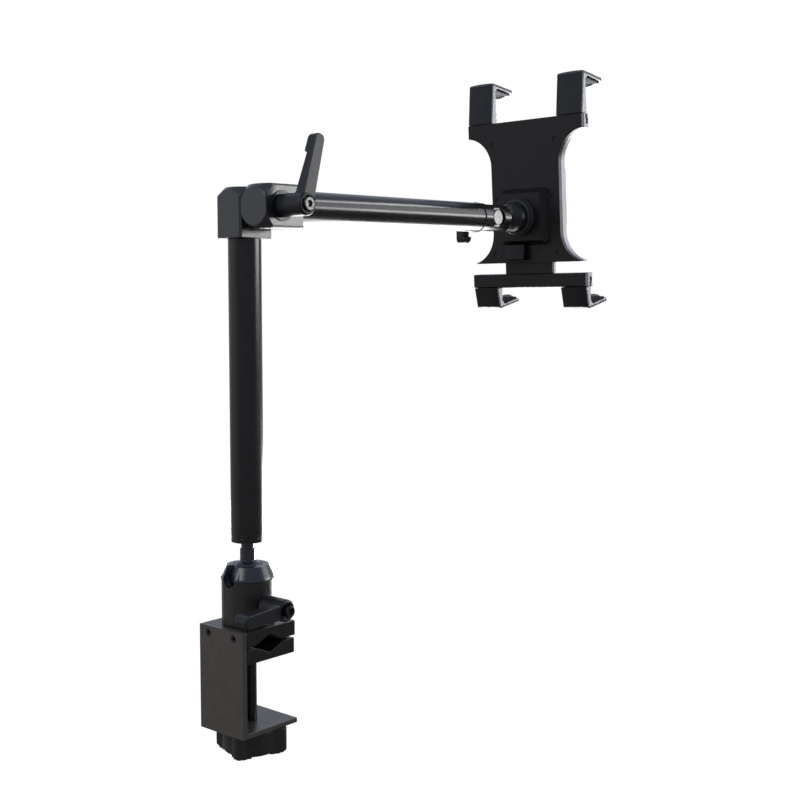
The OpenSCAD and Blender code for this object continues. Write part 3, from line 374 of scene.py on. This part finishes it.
# Arm
finishGroup([
    {"node": "arm_tube", "edge": 0.25, "steps": 3, "finish": anodisedArm},
    {"node": "arm_fork", "edge": 0.4, "steps": 3, "finish": anodisedArm},
    {"node": "tilt_bolt", "edge": 0.3, "steps": 3, "finish": nickelPlate},
    {"node": "tilt_lever", "edge": 0.9, "steps": 4, "finish": leverEnamel},
    {"node": "tilt_lever_screw", "edge": 0.2, "steps": 2, "finish": blackOxide},
])

# A rubber ring at the arm's end, a little prouder than the solid, so that it shows
armRing = {"radius": 14.4, "width": 2.4, "round": 0.7, "steps": 4, "rise": 4, "rim": 60, "smooth": 40,
           "facets": 96}  # millimetres, degrees
ringBox = [Vector(corner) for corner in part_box("arm_ring")]
deselectAll()
bpy.ops.mesh.primitive_cylinder_add(vertices=armRing["facets"], radius=armRing["radius"] * mm,
                                    depth=armRing["width"] * mm, location=(ringBox[0] + ringBox[1]) / 2,
                                    rotation=(0, math.radians(90 - armRing["rise"]), 0))
ring = bpy.context.object
ring.name = "armRing"
bpy.ops.object.mode_set(mode="EDIT")
bpy.ops.mesh.select_mode(type="EDGE")
bpy.ops.mesh.select_all(action="DESELECT")
bpy.ops.mesh.edges_select_sharp(sharpness=math.radians(armRing["rim"]))
bpy.ops.mesh.bevel(offset=armRing["round"] * mm, segments=armRing["steps"])
bpy.ops.object.mode_set(mode="OBJECT")
placeInMesh(ring)
smoothShade(ring, armRing["smooth"])
standIn(ring, "arm_ring", padRubber)
print("arm dressed")

# Cradle
finishGroup([
    {"node": "tilt_tongue", "edge": 0.6, "steps": 3, "finish": leverEnamel},
    {"node": "swivel_ring", "edge": 0.4, "steps": 3, "finish": mouldedNylon},
    {"node": "rear_block", "edge": 2.2, "steps": 5, "finish": coverPlastic},
    {"node": "release_tab", "edge": 0.7, "steps": 3, "finish": coverPlastic},
    {"node": "rear_cover", "edge": 0.5, "steps": 3, "finish": coverPlastic},
    {"node": "cover_screws", "edge": 0.12, "steps": 2, "finish": blackOxide},
    {"node": "front_plate", "edge": 0.35, "steps": 3, "finish": silverAnodised},
    {"node": "front_pads", "edge": 0.4, "steps": 3, "finish": padRubber},
    {"node": "slide_bar", "edge": 0.3, "steps": 3, "finish": silverAnodised},
    {"node": "slide_cover", "edge": 0.4, "steps": 3, "finish": coverPlastic},
    {"node": "lower_rail", "edge": 0.35, "steps": 3, "finish": silverAnodised},
    {"node": "lower_rail_cover", "edge": 0.5, "steps": 3, "finish": coverPlastic},
])
dressNodes(zincPlate, "swivel_clip")
print("cradle dressed")

# Hooks
for level in ("upper", "lower"):
    for side in ("left", "right"):
        hook = "hook_" + level + "_" + side
        finishGroup([
            {"node": hook, "edge": 0.4, "steps": 3, "finish": silverAnodised},
            {"node": hook + "_cover", "edge": 0.6, "steps": 3, "finish": hookPlastic},
            {"node": hook + "_pad", "edge": 0.4, "steps": 3, "finish": padRubber},
        ])
print("hooks dressed")


# Studio
lowest = Vector(cadBox[0])
highest = Vector(cadBox[1])
middle = (lowest + highest) / 2
cameraView = {"place": (-0.6696, -0.7506, 0.2785), "heading": 40.993, "pitch": -4.498, "sensor": 36,
              "focalPixels": 1209.2, "imagePixels": 800, "nearest": 0.01, "farthest": 200}  # metres, degrees
heading = math.radians(cameraView["heading"])
sight = Vector((math.cos(heading), math.sin(heading), 0))
aside = Vector((sight.y, -sight.x, 0))  # to the right in the picture

paleFloor = {"size": 60, "drop": 0.11, "colour": "#8c8c8d", "roughness": 0.95, "glow": 0.9}  # metres
bpy.ops.mesh.primitive_plane_add(size=paleFloor["size"],
                                 location=(middle.x, middle.y, lowest.z - paleFloor["drop"]))
floor = bpy.context.object
floor.name = "paleFloor"
placeInMesh(floor)
floorPaper = bpy.data.materials.new("litFloorPaper")  # matt paper lit from below, as on a light table
floorPaper.use_nodes = True
paper = floorPaper.node_tree
paper.nodes.clear()
addNode(paper, "ShaderNodeOutputMaterial", {}, {"Surface": addNode(paper, "ShaderNodeBsdfPrincipled", {
    "Base Color": linearColour(paleFloor["colour"]), "Roughness": paleFloor["roughness"],
    "Specular IOR Level": 0.0, "Emission Color": linearColour("#ffffff"),
    "Emission Strength": paleFloor["glow"]}).outputs["BSDF"]})
dress(floor, floorPaper)
floor.visible_glossy = False
floor.visible_diffuse = False

room = {
    "backdrop": 1.0, "softFill": 0.68,
    "softColour": "#c9d2e4", "aboveColour": "#c3cbdb", "belowColour": "#cbbfb4",
    # What gloss mirrors: brightness from the camera's side to behind the object, to the left, and below
    "behind": {"From Min": 0.15, "From Max": 0.8, "To Min": 0.42, "To Max": 1.0},
    "leftSide": {"From Min": 0.45, "From Max": 0.95, "To Min": 0.0, "To Max": 0.85},
    "below": {"From Min": -0.35, "From Max": 0.0, "To Min": 0.45, "To Max": 1.0},
    "tint": {"From Min": -0.3, "From Max": 0.3}}
world = bpy.data.worlds.new("paleRoom")
bpy.context.scene.world = world
world.use_nodes = True
air = world.node_tree
air.nodes.clear()
backdrop = addNode(air, "ShaderNodeBackground", {"Color": linearColour("#ffffff"),
                   "Strength": room["backdrop"]})
softFill = addNode(air, "ShaderNodeBackground", {"Color": linearColour(room["softColour"]),
                   "Strength": room["softFill"]})
direction = addNode(air, "ShaderNodeTexCoord").outputs["Generated"]
height = addNode(air, "ShaderNodeSeparateXYZ", {}, {"Vector": direction}).outputs["Z"]
forward = addNode(air, "ShaderNodeVectorMath", {"operation": "DOT_PRODUCT", 1: tuple(sight)},
                  {0: direction}).outputs["Value"]
leftward = addNode(air, "ShaderNodeVectorMath", {"operation": "DOT_PRODUCT", 1: tuple(-aside)},
                   {0: direction}).outputs["Value"]
behind = addNode(air, "ShaderNodeMapRange", room["behind"], {"Value": forward}).outputs["Result"]
leftSide = addNode(air, "ShaderNodeMapRange", room["leftSide"], {"Value": leftward}).outputs["Result"]
brighter = addNode(air, "ShaderNodeMath", {"operation": "MAXIMUM"}, {0: behind, 1: leftSide}).outputs[0]
dimmer = addNode(air, "ShaderNodeMapRange", room["below"], {"Value": height}).outputs["Result"]
level = addNode(air, "ShaderNodeMath", {"operation": "MULTIPLY"}, {0: brighter, 1: dimmer}).outputs[0]
warmth = addNode(air, "ShaderNodeMapRange", room["tint"], {"Value": height}).outputs["Result"]
tint = addNode(air, "ShaderNodeValToRGB", {}, {"Fac": warmth})
tint.color_ramp.elements[0].color = linearColour(room["belowColour"])
tint.color_ramp.elements[1].color = linearColour(room["aboveColour"])
mirrored = addNode(air, "ShaderNodeBackground", {}, {"Color": tint.outputs["Color"], "Strength": level})
path = addNode(air, "ShaderNodeLightPath")
unseen = addNode(air, "ShaderNodeMixShader", {}, {0: path.outputs["Is Glossy Ray"], 1: softFill.outputs[0],
                 2: mirrored.outputs[0]})
both = addNode(air, "ShaderNodeMixShader", {}, {0: path.outputs["Is Camera Ray"], 1: unseen.outputs[0],
               2: backdrop.outputs[0]})
addNode(air, "ShaderNodeOutputWorld", {}, {"Surface": both.outputs[0]})

cameraData = bpy.data.cameras.new("photoCamera")
cameraData.sensor_width = cameraView["sensor"]
cameraData.lens = cameraView["sensor"] * cameraView["focalPixels"] / cameraView["imagePixels"]
cameraData.clip_start = cameraView["nearest"]
cameraData.clip_end = cameraView["farthest"]
camera = bpy.data.objects.new("photoCamera", cameraData)
camera.location = cameraView["place"]
camera.rotation_euler = (math.radians(90 + cameraView["pitch"]), 0, math.radians(cameraView["heading"] - 90))
bpy.context.scene.collection.objects.link(camera)
bpy.context.scene.camera = camera


def softBox(light, place, aim, mirrorOnly=True):
    wide, tall = light["size"]
    data = bpy.data.lights.new(light["name"], "AREA")
    data.shape = "RECTANGLE"
    data.size = wide
    data.size_y = tall
    data.energy = light["radiance"] * math.pi * wide * tall
    box = bpy.data.objects.new(light["name"], data)
    box.location = place
    box.rotation_euler = (aim - place).to_track_quat("-Z", "Y").to_euler()
    box.visible_camera = False
    box.visible_diffuse = not mirrorOnly
    bpy.context.scene.collection.objects.link(box)


elbow = Vector((0, 0, joints["elbow"]["pos_m"][2]))


def fromElbow(light):  # a place seen from the elbow, angles in degrees, metres
    azimuth = math.radians(light["azimuth"])
    rise = math.radians(light["rise"])
    flat = light["away"] * math.cos(rise)
    return elbow + Vector((flat * math.cos(azimuth), flat * math.sin(azimuth),
                           light["away"] * math.sin(rise)))


# Long strips behind on the right draw the bright lines along the arm
for strip in (
    {"name": "lowStrip", "azimuth": -36, "rise": 5, "away": 3.0, "size": (1.7, 0.42), "radiance": 7.5},
    {"name": "highStrip", "azimuth": -29, "rise": 34, "away": 3.0, "size": (1.5, 0.3), "radiance": 7},
    {"name": "betweenStrips", "azimuth": -33, "rise": 19, "away": 3.2, "size": (1.7, 0.9), "radiance": 1.6}
):
    softBox(strip, fromElbow(strip), elbow)
underArm = {"name": "underArm", "place": (1.05, 0.5, -0.09), "size": (1.1, 1.2), "radiance": 12}
softBox(underArm, Vector(underArm["place"]), Vector((underArm["place"][0], underArm["place"][1], 1.0)))
keyLight = {"name": "keyFromCamera", "back": 2.6, "left": 2.0, "up": 2.6, "size": (2.2, 2.2), "radiance": 2.2}
keyPlace = middle - sight * keyLight["back"] - aside * keyLight["left"] + Vector((0, 0, keyLight["up"]))
softBox(keyLight, keyPlace, middle, mirrorOnly=False)
bpy.context.scene.view_settings.view_transform = "Standard"
print("studio lit")
